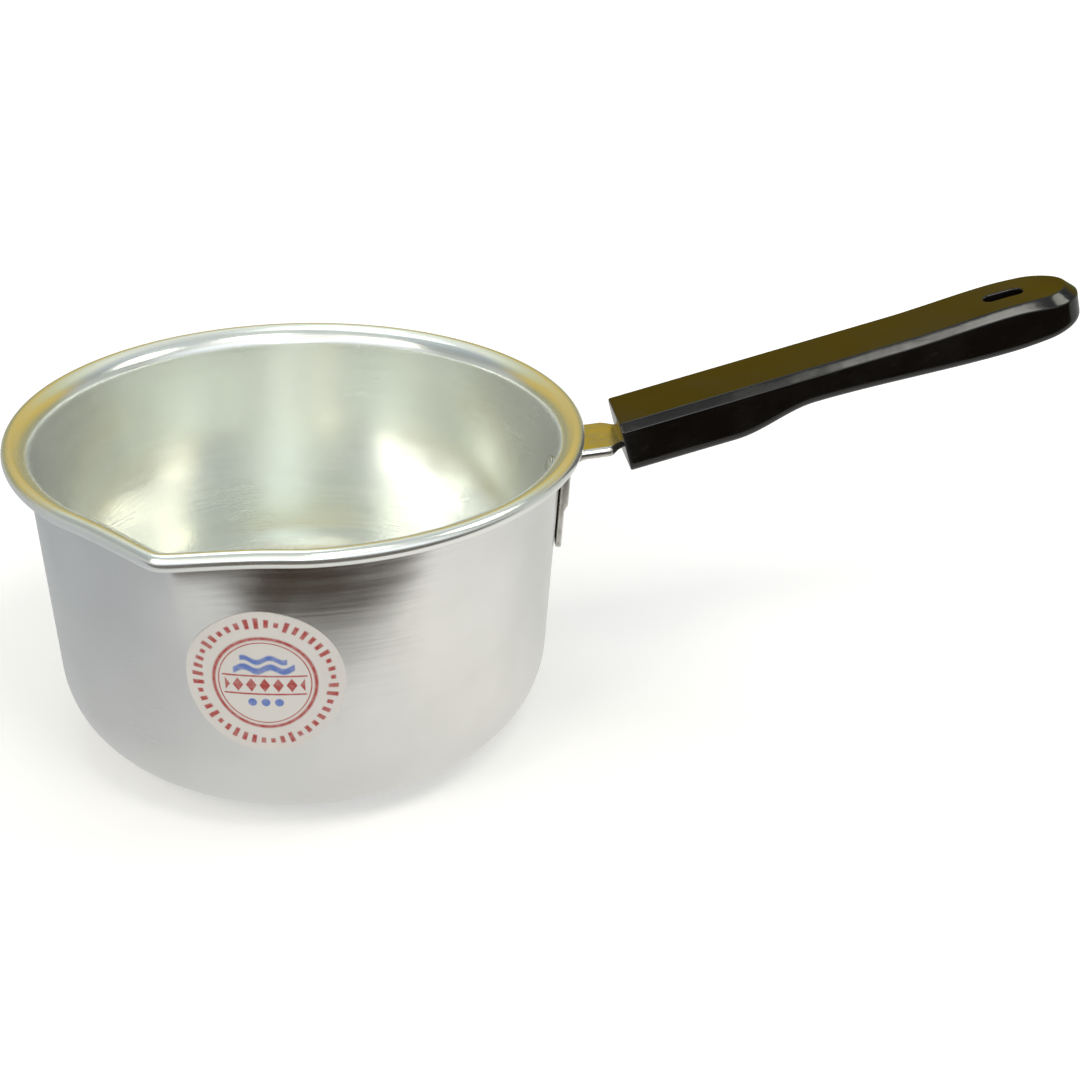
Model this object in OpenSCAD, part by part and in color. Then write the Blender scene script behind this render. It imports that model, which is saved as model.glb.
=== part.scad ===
// Spun aluminium saucepan with a pouring lip, a pressed steel bracket and a moulded handle.
// The origin is at the centre of the base, +Z is up and +X points along the handle.

/* [Pan] */
// Outside diameter over the rolled rim
rim_d = 168; // [140:1:220]
// How far the flared rim reaches past the wall
rim_w = 6.5; // [6:0.25:10]
// How much further in the wall stands at its foot than under the rim
wall_draw = 4; // [0:0.25:5]
// Height from the base to the top of the rim
pan_h = 97; // [80:1:140]
// Thickness of the aluminium sheet
sheet_t = 1.6; // [1.2:0.1:2.2]
// Outside radius of the rounded bottom corner
corner_r = 28; // [12:1:36]
// Outside radius of the rolled bead
bead_r = 2.5; // [2.3:0.1:3.1]
// Middle radius of the curve that flares the wall out to the rim
flare_r = 5; // [4:0.5:6]
// Angle that the flare turns through
flare_turn = 70; // [55:1:78]

/* [Pouring lip] */
// Direction of the lip, seen from above, from the handle
lip_azimuth = -115; // [-150:1:-60]
// How far past the round rim the two straight flanks of the lip would meet
lip_reach = 6; // [3:0.5:9]
// Half of the angle that the two straight flanks of the lip take
lip_half_angle = 28; // [20:1:32]
// How far below the rim the lip fades into the wall
lip_depth = 42; // [30:1:50]
// How far the tip of the lip dips below the rim
lip_dip = 1; // [0:0.25:3]

/* [Bracket] */
// Width of the bracket
bracket_w = 20; // [16:1:22]
// Thickness of the bracket strip
bracket_t = 1.8; // [1.2:0.1:2.4]
// Depth of the web folded along both edges of the bracket
web_depth = 1; // [0.6:0.1:2]
// Radius of the web's edge in the corner
web_r = 5.5; // [3:0.5:8]
// How far the web runs down the leg
web_len = 14; // [8:1:22]
// Length of the straight leg that lies along the wall
leg_len = 26; // [24:1:36]
// Inside radius of the bend between the leg and the arm
bend_r = 4; // [3:0.5:6]
// Angle that the arm rises at, between the rim and the handle
arm_rise = 6; // [0:0.5:12]
// Length over which the bracket narrows, just outside the handle
shoulder_len = 4; // [2:0.5:6]
// Width of the tang inside the handle
tang_w = 13; // [10:0.5:15]
// Length of the tang inside the handle
tang_len = 42; // [34:1:50]

/* [Rivets] */
// Radius of the rivet shank
rivet_r = 2.2; // [1.5:0.1:2.5]
// Radius of the rivet heads
rivet_head_r = 3.6; // [3:0.2:4]
// Height of the rivet heads
rivet_head_h = 1.5; // [1:0.1:2]
// Distance between the two rivets
rivet_pitch = 14.5; // [12:0.5:16]

/* [Handle] */
// Length of the handle
grip_len = 143.5; // [130:0.5:170]
// Width of the handle
grip_w = 24; // [22:0.5:28]
// Depth of the handle at its root
root_depth = 15.8; // [14:0.2:18]
// Depth of the handle just past the finger stop
waist_depth = 11.2; // [10:0.2:13]
// Depth of the handle before its rounded end
tail_depth = 13.6; // [11:0.2:15]
// Depth of the handle at its tip
tip_depth = 12.2; // [9:0.2:13.4]
// Length of the deep root up to the finger stop
root_len = 33; // [32:1:42]
// Length over which the finger stop runs out
stop_len = 25; // [14:1:28]
// Length over which the tail thins towards the tip
tip_len = 24; // [20:1:40]
// Length of the rounded end, seen from above
nose_len = 13.5; // [12:0.5:20]
// How far the top of the handle swells up before its rounded end
tail_lift = 0.9; // [0:0.1:1.6]
// Length over which the top swells up
swell_len = 32; // [26:1:44]
// Width of the bevel along the top edges
bevel_w = 2.2; // [1:0.2:3]
// Width of the bevel at the tip
tip_bevel_w = 3.2; // [1:0.2:4]
// Radius of the bottom edges
under_r = 3; // [2:0.25:4]
// Angle that the handle rises at
grip_rise = 15.5; // [12:0.5:20]
// Distance from the rim to the top edge of the handle's root
grip_gap = 9.6; // [8:0.2:16]
// How far the top edge of the handle's root lies below the rim
root_drop = 0.4; // [0:0.2:3]
// Depth of the tang's middle below the top of the handle
tang_depth = 8.1; // [7:0.1:9]
// Length of the hanging slot
slot_len = 12; // [11:0.5:16]
// Width of the hanging slot
slot_w = 4.6; // [4.5:0.1:8]
// Distance from the end of the handle to the middle of the hanging slot
slot_from_end = 22; // [20:0.5:34]

/* [Handle screw] */
// Radius of the screw's thread
screw_r = 2; // [1.5:0.1:2.5]
// Radius of the screw's head
screw_head_r = 3.8; // [3.2:0.1:4.5]
// Height of the screw's head
screw_head_h = 2.4; // [1.8:0.1:2.6]
// Distance from the handle's root to the screw
screw_place = 22; // [14:0.5:26]

/* [Label] */
// Diameter of the round label
label_d = 44.5; // [30:0.5:50]
// Thickness of the label
label_t = 0.16; // [0.1:0.02:0.3]
// Height of the label's middle above the base
label_z = 54; // [46:0.5:60]
// Direction of the label, seen from above, from the handle
label_azimuth = -99; // [-180:1:-60]

/* [Hidden] */

// Overrun of the cuts
over = 1;
// Gap between pieces that lie face to face
fit_gap = 0.05;
// Gap around the tang in its socket, and around the screw
socket_gap = 0.3;
// Gap between the curled edge and the underside of the rim
curl_gap = 0.5;
// How much thinner the drawn lip is on each face, so that it passes cleanly into the round rim and wall
lip_thin = 0.06;
// Steps of round shapes
$fn = 96;

rim_r = rim_d / 2;
wall_r = rim_r - rim_w;
wall_in_r = wall_r - sheet_t;
wall_mid_r = wall_r - sheet_t / 2;
taper = atan(wall_draw / (pan_h - corner_r));
bead_mid_r = bead_r - sheet_t / 2;
flare_slope = 90 - flare_turn;
// The curl stops short of the underside of the rim.
bead_turn = 360 - acos((bead_r - sheet_t - curl_gap) / bead_r);

// Points on an arc about c, from angle a to angle b, in n steps
function arc(c, r, a, b, n) = [for (i = [0 : n]) c + r * [cos(a + (b - a) * i / n), sin(a + (b - a) * i / n)]];
function smooth(t) = let (u = min(max(t, 0), 1)) u * u * (3 - 2 * u);
function reversed(list) = [for (i = [len(list) - 1 : -1 : 0]) list[i]];
// Four-sided faces that close a ring of m points from number first on, point j joined to its mirror point m - 1 - j
function ladder(first, m) = [for (j = [0 : m / 2 - 2]) [first + j, first + j + 1, first + m - 2 - j, first + m - 1 - j]];
function flipped(faces) = [for (f = faces) reversed(f)];

// The flare ends in a short straight stretch, long enough to bring the bead out to the rim's diameter.
flange_len = (rim_r - wall_mid_r - flare_r * (cos(taper) - sin(flare_slope)) - bead_mid_r * sin(flare_slope)
    - bead_r) / cos(flare_slope);
flare_base_z = pan_h - bead_r + bead_mid_r * cos(flare_slope) - flange_len * sin(flare_slope)
    - flare_r * (cos(flare_slope) - sin(taper));
flare_c = [wall_mid_r + flare_r * cos(taper), flare_base_z - flare_r * sin(taper)];
flange_start = flare_c + flare_r * [-sin(flare_slope), cos(flare_slope)];
flange_end = flange_start + flange_len * [cos(flare_slope), sin(flare_slope)];
bead_c = flange_end + bead_mid_r * [sin(flare_slope), -cos(flare_slope)];
lip_base_z = pan_h - lip_depth;
// Radius at the height z of a surface at the distance s from the middle of the wall, towards the inside
function wall_x(z, s) = wall_mid_r - (flare_base_z - z) * tan(taper) - s / cos(taper);
wall_steps = 6;
flare_steps = 8;
bead_steps = 14;

// One face of the sheet, at the distance s from its middle towards the inside, from the height low up to the curl
function sheet_face(s, low, turn) = concat(
    [for (i = [0 : wall_steps - 1]) let (z = low + (flare_c[1] - low) * i / wall_steps) [wall_x(z, s), z]],
    arc(flare_c, flare_r + s, 180 - taper, 180 - flare_turn, flare_steps),
    arc(bead_c, bead_mid_r + s, 90 + flare_slope, 90 + flare_slope - turn, bead_steps));
// Section of the sheet, each face moved in by thin
function sheet_section(low, thin) =
    let (half = sheet_t / 2 - thin, turn = bead_turn * (1 - thin / sheet_t))
    concat(sheet_face(half, low, turn), reversed(sheet_face(-half, low, turn)));

// Plan of the lip: at angle a from its axis, how far its flank lies from the round rim, rounded at the tip
lip_tip_r = rim_r + lip_reach;
lip_tip_round = 1.5;
lip_narrow_share = 0.5;
lip_blend_share = 0.6;
function flank_push(a) = let (u = norm([a, lip_tip_round * (1 - a / lip_half_angle)]))
    lip_tip_r * rim_r * sin(lip_half_angle) / (lip_tip_r * sin(u) + rim_r * sin(lip_half_angle - u)) - rim_r;
function lip_push(a) = a >= lip_half_angle ? 0
    : flank_push(a) * (1 - smooth((a / lip_half_angle - lip_blend_share) / (1 - lip_blend_share)));
// A profile point p moved by the lip at angle a: the lip narrows and fades on its way down the wall.
function lipped(p, a) =
    let (up = min((p[1] - lip_base_z) / (flare_base_z - lip_base_z), 1),
         push = smooth(up) * lip_push(abs(a) / (lip_narrow_share + (1 - lip_narrow_share) * up)))
    [(p[0] + push) * cos(a), (p[0] + push) * sin(a), p[1] - lip_dip * max(push, 0) / lip_reach];
// The lip runs on into the round rim by this angle.
lip_run_on = 1;
lip_steps = 32;

// Bracket: the path of the strip's middle, seen from the side
leg_s = -sheet_t / 2 - fit_gap - bracket_t / 2;
bend_mid_r = bend_r + bracket_t / 2;
knee_r = 5 * bracket_t;
grip_dir = [cos(grip_rise), sin(grip_rise)];
grip_up = [-sin(grip_rise), cos(grip_rise)];
grip_root = [rim_r + grip_gap, pan_h - root_drop];
tang_root = grip_root - tang_depth * grip_up - fit_gap * grip_dir;
knee_c = tang_root + knee_r * grip_up;
arm_down = [sin(arm_rise), -cos(arm_rise)];
knee_start = knee_c + knee_r * arm_down;
// Centre of an arc that runs at the distance d from the middle of both the leg and the arm
function corner(d) =
    let (arm_z = knee_start[1] - knee_start[0] * tan(arm_rise) - d / cos(arm_rise),
         x = (wall_x(arm_z, leg_s) + d / cos(taper)) / (1 - tan(arm_rise) * tan(taper)))
    [x, arm_z + x * tan(arm_rise)];
bend_c = corner(bend_mid_r);
leg_top_z = bend_c[1] + bend_mid_r * sin(taper);
leg_low_z = leg_top_z - leg_len;
bend_steps = 12;
knee_steps = 3;
// One face of the strip, side = 1 for the face towards the pan and the rim, from the height low to the bend's end
function bend_side(side, low) = let (s = side * bracket_t / 2) concat(
    [[wall_x(low, leg_s + s), low]],
    arc(bend_c, bend_mid_r + s, 180 - taper, 90 + arm_rise, bend_steps));
// The same down to the end of the knee, where the strip meets the handle
function strip_side(side) = concat(bend_side(side, leg_low_z),
    arc(knee_c, knee_r - side * bracket_t / 2, arm_rise - 90, grip_rise - 90, knee_steps));
function tang_side(side) = [tang_root + tang_len * grip_dir + side * bracket_t / 2 * grip_up];
// The web is deepest in the corner, and fades out down the leg and towards the handle.
web_low_z = leg_top_z - web_len;
web_section = concat(
    bend_side(1, web_low_z),
    [for (side = [-1, 1]) knee_start + side * bracket_t / 2 * arm_down],
    reversed(arc(corner(bracket_t / 2 + web_depth + web_r), web_r, 180 - taper, 90 + arm_rise, bend_steps)),
    [for (d = [web_depth, 0]) let (z = web_low_z + 2 * d) [wall_x(z, leg_s - bracket_t / 2 - d), z]]);
rivet_zs = [for (i = [0, 1]) leg_top_z - rivet_head_r - socket_gap - i * rivet_pitch];

// Handle: depth of its underside at the distance s from its root
waist_end = root_len + stop_len;
tail_start = grip_len - tip_len;
function depth_at(s) =
    s < waist_end ? root_depth + (waist_depth - root_depth) * smooth((s - root_len) / stop_len)
    : s < tail_start ? waist_depth + (tail_depth - waist_depth) * smooth((s - waist_end) / (tail_start - waist_end))
    : tail_depth + (tip_depth - tail_depth) * smooth((s - tail_start) / tip_len);
// Height of the top face at the distance s: it swells up towards the tail and falls again to the tip.
function lift_at(s) = tail_lift * (s < tail_start ? smooth((s - tail_start + swell_len) / swell_len)
    : 1 - smooth((s - tail_start) / tip_len));
function bevel_at(s) = bevel_w + (tip_bevel_w - bevel_w) * smooth((s - tail_start) / tip_len);
nose_r = grip_w / 2;
nose_s = grip_len - nose_len;
side_steps = 46;
nose_steps = 17;
under_steps = 4;
// Plan outline of the handle as [distance along it, direction to the side], from the root round the nose and back
plan_outline = concat(
    [for (i = [0 : side_steps - 1]) [nose_s * i / side_steps, -90]],
    [for (i = [0 : nose_steps]) [nose_s, -90 + 180 * i / nose_steps]],
    [for (i = [side_steps - 1 : -1 : 0]) [nose_s * i / side_steps, 90]]);
// Rows of the handle's skin: the bevel's two edges, then the rounded bottom edge as [inset from the plan outline,
// height above the underside]
under_rows = [for (i = [0 : under_steps]) let (a = 90 * i / under_steps) under_r * [1 - cos(a), 1 - sin(a)]];
grip_rows = under_steps + 3;
function grip_point(row, p) =
    let (s = p[0] + nose_len * cos(p[1]), bevel = bevel_at(s),
         inset = row == 0 ? bevel : row == 1 ? 0 : under_rows[row - 2][0],
         h = row == 0 ? lift_at(s) : row == 1 ? lift_at(s) - bevel : under_rows[row - 2][1] - depth_at(s))
    [p[0] + (nose_len - inset) * cos(p[1]), (nose_r - inset) * sin(p[1]), h];

// Label: the point at the distance d from its middle in the direction a, lifted off the bulging wall
label_rings = 9;
label_spokes = 48;
function label_point(d, a, lift) = let (turn = label_azimuth - lip_azimuth + d * cos(a) / wall_r * 180 / PI)
    let (z = label_z + d * sin(a)) lipped([wall_x(z, -sheet_t / 2 - fit_gap - lift), z], turn);

// Screw: it is driven up from below, and its head is sunk into the underside.
screw_sink = 0.4;
screw_seat = screw_head_h + screw_sink - root_depth;
screw_tip = bracket_t / 2 + screw_r / 2 - tang_depth;

// Each rivet's place, square to the wall, with the origin on the wall's outer face
module at_rivets() {
    for (z = rivet_zs) translate([wall_x(z, -sheet_t / 2), 0, z]) rotate([0, 90 + taper, 0]) children();
}

module rivet_holes() {
    at_rivets() cylinder(h = 4 * rivet_head_r, r = rivet_r + fit_gap, center = true);
}

module at_grip() {
    translate([grip_root[0], 0, grip_root[1]]) rotate([0, -grip_rise, 0]) children();
}

// Half-section of the pan below the lip, filled, at the distance s from the middle of the sheet towards the inside
module dish_section(s) {
    floor_z = s + sheet_t / 2;
    arc_r = corner_r - floor_z;
    c = [wall_x(corner_r, -sheet_t / 2) - corner_r / cos(taper), corner_r];
    polygon([[0, floor_z], [c[0], floor_z], c, c + arc_r * [cos(taper), -sin(taper)],
        [wall_x(lip_base_z, s), lip_base_z], [0, lip_base_z]]);
    intersection() {
        translate(c) circle(arc_r);
        translate([c[0], floor_z]) square(arc_r);
    }
}

module lip_sector() {
    section = sheet_section(lip_base_z - over, lip_thin);
    m = len(section);
    points = [for (i = [0 : lip_steps], p = section)
        lipped(p, (lip_half_angle + lip_run_on) * (2 * i / lip_steps - 1))];
    sides = [for (i = [0 : lip_steps - 1], j = [0 : m - 1], k = [0, 1])
        let (a = i * m + j, b = i * m + (j + 1) % m)
        k == 0 ? [a, a + m, b] : [b, a + m, b + m]];
    polyhedron(points, concat(sides, ladder(0, m), flipped(ladder(lip_steps * m, m))));
}

module pan_body() {
    color("lightgray") difference() {
        union() {
            rotate_extrude() difference() {
                dish_section(-sheet_t / 2);
                dish_section(sheet_t / 2);
            }
            rotate_extrude(angle = 360 - 2 * lip_half_angle, start = lip_azimuth + lip_half_angle)
                polygon(sheet_section(lip_base_z, 0));
            rotate([0, 0, lip_azimuth]) lip_sector();
        }
        rivet_holes();
    }
}

module handle_bracket() {
    color("silver") difference() {
        rotate([90, 0, 0]) {
            linear_extrude(bracket_w, center = true)
                polygon(concat(strip_side(1), reversed(strip_side(-1))));
            linear_extrude(tang_w, center = true)
                polygon(concat(strip_side(1), tang_side(1), tang_side(-1), reversed(strip_side(-1))));
            for (side = [-1, 1]) translate([0, 0, side * (bracket_w - bracket_t) / 2])
                linear_extrude(bracket_t, center = true) polygon(web_section);
        }
        rivet_holes();
        at_grip() translate([screw_place, 0, -root_depth]) cylinder(h = root_depth, r = screw_r + fit_gap);
        for (side = [0, 1]) mirror([0, side, 0]) shoulder_cut();
    }
}

// The strip narrows towards the tang in a slanted shoulder on each side, just outside the handle.
module shoulder_cut() {
    low_y = tang_w / 2 + bracket_t / 4;
    slope = (bracket_w / 2 - low_y) / shoulder_len;
    high_y = bracket_w / 2 + slope * over;
    at_grip() translate([0, 0, -root_depth]) linear_extrude(root_depth)
        polygon([[-shoulder_len - over, high_y], [0, low_y], [over, low_y], [over, high_y]]);
}

// Domed head of radius r and height h
module dome(r, h) {
    ball_r = (r * r + h * h) / (2 * h);
    intersection() {
        translate([0, 0, h - ball_r]) sphere(ball_r);
        cylinder(h = h, r = r);
    }
}

module bracket_rivets() {
    // The inner head's edge rests on the hollow side of the wall.
    hollow = wall_in_r - sqrt(wall_in_r * wall_in_r - rivet_head_r * rivet_head_r);
    inner_seat = -sheet_t - hollow - fit_gap;
    outer_seat = 2 * fit_gap + bracket_t;
    color("gainsboro") at_rivets() {
        translate([0, 0, inner_seat]) mirror([0, 0, 1]) dome(rivet_head_r, rivet_head_h);
        translate([0, 0, inner_seat]) cylinder(h = outer_seat - inner_seat, r = rivet_r);
        translate([0, 0, outer_seat]) dome(rivet_head_r, rivet_head_h);
    }
}

module grip_skin() {
    m = len(plan_outline);
    last = grip_rows - 1;
    points = [for (row = [0 : last], p = plan_outline) grip_point(row, p)];
    sides = [for (row = [0 : last - 1], j = [0 : m - 2], k = [0, 1])
        let (a = row * m + j, b = a + m)
        k == 0 ? [a, a + 1, b] : [a + 1, b + 1, b]];
    root = [for (row = [0 : last - 1]) [row * m, (row + 1) * m, (row + 2) * m - 1, (row + 1) * m - 1]];
    polyhedron(points, concat(sides, root, ladder(last * m, m), flipped(ladder(0, m))));
}

module handle_grip() {
    color("#15130f") at_grip() difference() {
        grip_skin();
        translate([tang_len / 2 - over, 0, -tang_depth])
            cube([tang_len + 2 * (over + socket_gap), tang_w + 2 * socket_gap, bracket_t + 2 * socket_gap],
                center = true);
        translate([screw_place, 0, -root_depth - over])
            cylinder(h = root_depth + over + screw_tip + socket_gap, r = screw_r + socket_gap);
        translate([screw_place, 0, -root_depth - over])
            cylinder(h = root_depth + over + screw_seat, r = screw_head_r + socket_gap);
        translate([grip_len - slot_from_end, 0, -root_depth]) linear_extrude(root_depth + tail_lift + over) {
            square([slot_len - slot_w, slot_w], center = true);
            for (side = [-1, 1]) translate([side * (slot_len - slot_w) / 2, 0]) circle(slot_w / 2);
        }
    }
}

module handle_screw() {
    drive_w = screw_head_r / 4;
    drive_depth = screw_head_h / 2;
    color("gray") at_grip() translate([screw_place, 0, 0]) difference() {
        union() {
            translate([0, 0, screw_seat - fit_gap]) cylinder(h = screw_tip - screw_seat + fit_gap, r = screw_r);
            translate([0, 0, screw_seat - fit_gap]) mirror([0, 0, 1]) dome(screw_head_r, screw_head_h);
        }
        translate([0, 0, screw_seat - screw_head_h]) for (a = [0, 90]) rotate([0, 0, a])
            cube([screw_head_r, drive_w, 2 * drive_depth], center = true);
    }
}

module label() {
    // Rings of points, on the face towards the wall from the middle out, then back on the outer face
    reach = [for (i = [0 : 2 * label_rings - 1]) min(i, 2 * label_rings - 1 - i) + 1];
    points = concat([label_point(0, 0, 0)],
        [for (i = [0 : 2 * label_rings - 1], j = [0 : label_spokes - 1])
            label_point(label_d / 2 * reach[i] / label_rings, 360 * j / label_spokes, i < label_rings ? 0 : label_t)],
        [label_point(0, 0, label_t)]);
    last = len(points) - 1;
    inner_fan = [for (j = [0 : label_spokes - 1]) [0, 1 + j, 1 + (j + 1) % label_spokes]];
    outer_fan = [for (j = [0 : label_spokes - 1])
        [last, last - label_spokes + (j + 1) % label_spokes, last - label_spokes + j]];
    rings = [for (i = [0 : 2 * label_rings - 2], j = [0 : label_spokes - 1], k = [0, 1])
        let (a = 1 + i * label_spokes + j, b = 1 + i * label_spokes + (j + 1) % label_spokes)
        k == 0 ? [a, a + label_spokes, b] : [b, a + label_spokes, b + label_spokes]];
    color("ivory") rotate([0, 0, lip_azimuth]) polyhedron(points, concat(inner_fan, rings, outer_fan));
}

pan_body();
handle_bracket();
bracket_rivets();
handle_grip();
handle_screw();
label();
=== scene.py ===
# Spun aluminium saucepan with a pouring lip, a pressed bracket and a moulded handle. Shapes are in millimetres, as in
# part.scad; meshes, materials and the studio are in metres. +Z is up and +X runs along the handle.
from math import acos, atan, cos, degrees, pi, sin, sqrt, tan
import bpy
import bmesh
import numpy as np
from mathutils import Matrix


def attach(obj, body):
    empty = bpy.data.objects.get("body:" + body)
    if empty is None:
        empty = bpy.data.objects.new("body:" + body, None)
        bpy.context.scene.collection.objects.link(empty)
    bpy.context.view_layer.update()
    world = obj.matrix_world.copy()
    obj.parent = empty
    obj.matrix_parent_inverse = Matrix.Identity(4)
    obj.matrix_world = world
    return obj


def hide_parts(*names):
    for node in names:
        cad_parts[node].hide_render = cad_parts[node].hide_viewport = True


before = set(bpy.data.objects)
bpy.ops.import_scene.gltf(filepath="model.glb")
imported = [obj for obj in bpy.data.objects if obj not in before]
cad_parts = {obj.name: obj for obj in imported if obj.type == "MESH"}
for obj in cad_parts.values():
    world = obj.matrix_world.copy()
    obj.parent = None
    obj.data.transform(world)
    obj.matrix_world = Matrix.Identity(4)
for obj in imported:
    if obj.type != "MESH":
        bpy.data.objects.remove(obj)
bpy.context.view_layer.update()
scene = bpy.context.scene
mm = 0.001


# Degrees in radians, and their cosine and sine.
def rad(angle):
    return angle * pi / 180


def cosOf(angle):
    return cos(rad(angle))


def sinOf(angle):
    return sin(rad(angle))


# A soft step: three times the square less twice the cube of the value, which is held between 0 and 1.
def smooth(t):
    u = np.clip(t, 0, 1)
    return u * u * (3 - 2 * u)


# Points of an arc about a centre, from one angle in degrees to another.
def arc(centre, radius, first, last, steps):
    turn = np.radians(np.linspace(first, last, steps + 1))
    return np.stack([centre[0] + radius * np.cos(turn), centre[1] + radius * np.sin(turn)], 1)


# Points from first towards last, with the last point left out.
def line(first, last, steps):
    share = np.arange(steps)[:, None] / steps
    return np.array(first, float) * (1 - share) + np.array(last, float) * share


def unit(vector):
    return vector / np.linalg.norm(vector)


# A piece from points in millimetres and faces, with the face corners' places in texture space where they are given.
def makePiece(name, points, faces, corners=None, sharpAngle=35):
    mesh = bpy.data.meshes.new(name)
    mesh.from_pydata((np.asarray(points) * mm).tolist(), [], faces)
    if corners is not None:
        layer = mesh.uv_layers.new(name="surface")
        layer.data.foreach_set("uv", np.asarray(corners, np.float32).ravel())
    mesh.validate()
    turnOut(mesh)
    shade(mesh, sharpAngle)
    return linked(name, mesh)


# An object in the scene for a mesh, a lamp or a camera.
def linked(name, data):
    made = bpy.data.objects.new(name, data)
    scene.collection.objects.link(made)
    return made


# A lamp or a camera that looks away from its third axis.
def stand(name, data, right, up, back, place):
    made = linked(name, data)
    made.matrix_world = Matrix([[right[k], up[k], back[k], place[k]] for k in range(3)] + [[0, 0, 0, 1]])
    return made


# Turns the faces outwards.
def turnOut(mesh):
    work = bmesh.new()
    work.from_mesh(mesh)
    bmesh.ops.recalc_face_normals(work, faces=work.faces)
    if work.calc_volume(signed=True) < 0:
        bmesh.ops.reverse_faces(work, faces=work.faces)
    work.to_mesh(mesh)
    work.free()


# Shades a mesh smooth but for the edges that bend by more than an angle.
def shade(mesh, sharpAngle):
    mesh.shade_smooth()
    mesh.set_sharp_from_angle(angle=rad(sharpAngle))


# Faces of a grid whose points are numbered ring by ring, closed round each ring.
def gridFaces(rings, steps):
    start, here = np.arange(rings - 1)[:, None] * steps, np.arange(steps)
    first, second = start + here, start + (here + 1) % steps
    return np.stack([first, first + steps, second + steps, second], -1).reshape(-1, 4).tolist()


# The same, closed by a pole at each end. The poles are the last two points.
def globeFaces(rings, steps, flip=False):
    faces = gridFaces(rings, steps)
    for pole, start, over in ((rings * steps, 0, not flip), (rings * steps + 1, (rings - 1) * steps, flip)):
        for k in range(steps):
            pair = [start + k, start + (k + 1) % steps]
            faces.append([pole] + (pair[::-1] if over else pair))
    return faces


# The same, closed by a flat cap at each end.
def tubeFaces(rings, steps, flip=False):
    low = list(range(steps))
    high = [(rings - 1) * steps + k for k in low]
    return gridFaces(rings, steps) + ([low[::-1], high] if flip else [low, high[::-1]])


# Cuts the tools out of a piece for good.
def cutAway(piece, tools, sharpAngle):
    for tool in tools:
        cut = piece.modifiers.new("cut", "BOOLEAN")
        cut.operation = "DIFFERENCE"
        cut.solver = "EXACT"
        cut.object = tool
    bpy.context.view_layer.update()
    done = bpy.data.meshes.new_from_object(piece.evaluated_get(bpy.context.evaluated_depsgraph_get()))
    piece.modifiers.clear()
    piece.data = done
    for tool in tools:
        bpy.data.objects.remove(tool)
    shade(done, sharpAngle)


# Turned cutter or rivet: (radius, height) points from pole to pole, about the axis from start along direction.
def turned(name, profile, start, direction, steps=48):
    axis = unit(np.array(direction, float))
    side = np.array([0.0, 1.0, 0.0])
    third = np.cross(axis, side)
    turn = np.arange(steps) * 2 * pi / steps
    ring = np.cos(turn)[:, None] * side + np.sin(turn)[:, None] * third
    rings = [np.array(start) + height * axis + radius * ring for radius, height in profile[1:-1]]
    poles = [[np.array(start) + profile[k][1] * axis] for k in (0, -1)]
    return makePiece(name, np.concatenate(rings + poles), globeFaces(len(rings), steps), sharpAngle=40)


# A round cutter from one height to another.
def drill(radius, low, high, start, direction):
    return turned("drill", [(0, low), (radius, low), (radius, high), (0, high)], start, direction, 32)


pan = {
    "rimRadius": 84,
    "rimReach": 6.5,
    "wallDraw": 4,
    "height": 97,
    "sheet": 1.6,
    "cornerRadius": 28,
    "beadRadius": 2.5,
    "flareRadius": 5,
    "flareTurn": 70,
    "curlGap": 0.5,
    "wallSteps": 30,
    "cornerSteps": 16,
    "flareSteps": 10,
    "beadSteps": 30,
    "floorSteps": 12,
    "lipMargin": 4,
    "lipStep": 0.5,
    "roundStep": 1.2,
}
lip = {
    "azimuth": -115,
    "reach": 6,
    "halfAngle": 28,
    "depth": 42,
    "dip": 1,
    "tipRound": 1.5,
    "narrowShare": 0.5,
    "blendShare": 0.6,
}

sheet = pan["sheet"]
wallRadius = pan["rimRadius"] - pan["rimReach"]
wallMiddle = wallRadius - sheet / 2
taper = atan(pan["wallDraw"] / (pan["height"] - pan["cornerRadius"]))
beadMiddle = pan["beadRadius"] - sheet / 2
flareSlope = rad(90 - pan["flareTurn"])
flareRadius = pan["flareRadius"]
beadTurn = 360 - degrees(acos((pan["beadRadius"] - sheet - pan["curlGap"]) / pan["beadRadius"]))
flangeLength = (pan["rimRadius"] - wallMiddle - flareRadius * (cos(taper) - sin(flareSlope))
                - beadMiddle * sin(flareSlope) - pan["beadRadius"]) / cos(flareSlope)
flareBase = (pan["height"] - pan["beadRadius"] + beadMiddle * cos(flareSlope)
             - flangeLength * sin(flareSlope) - flareRadius * (cos(flareSlope) - sin(taper)))
flareCentre = np.array([wallMiddle + flareRadius * cos(taper), flareBase - flareRadius * sin(taper)])
flareUp = np.array([-sin(flareSlope), cos(flareSlope)])
flangeStart = flareCentre + flareRadius * flareUp
flangeEnd = flangeStart + flangeLength * np.array([cos(flareSlope), sin(flareSlope)])
beadCentre = flangeEnd - beadMiddle * flareUp
lipBase = pan["height"] - lip["depth"]


# Radius at a height of a surface at a distance from the middle of the wall, towards the inside.
def wallAt(height, inward):
    return wallMiddle - (flareBase - height) * tan(taper) - inward / cos(taper)


# One face of the sheet from the middle of the base to the end of the curl.
def sheetFace(inward):
    floor, large = inward + sheet / 2, pan["cornerRadius"]
    centre = np.array([wallAt(large, -sheet / 2) - large / cos(taper), large])
    slope = degrees(taper)
    corner = arc(centre, large - floor, -90, -slope, pan["cornerSteps"])
    wallEnd = arc(flareCentre, flareRadius + inward, 180 - slope, 180 - pan["flareTurn"], pan["flareSteps"])
    wallPoints = line(corner[-1], wallEnd[0], pan["wallSteps"])
    start = 90 + degrees(flareSlope)
    return np.concatenate([
        line([0, floor], corner[0], pan["floorSteps"]), corner[:-1], wallPoints, wallEnd,
        arc(beadCentre, beadMiddle + inward, start, start - beadTurn, pan["beadSteps"])])


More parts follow.
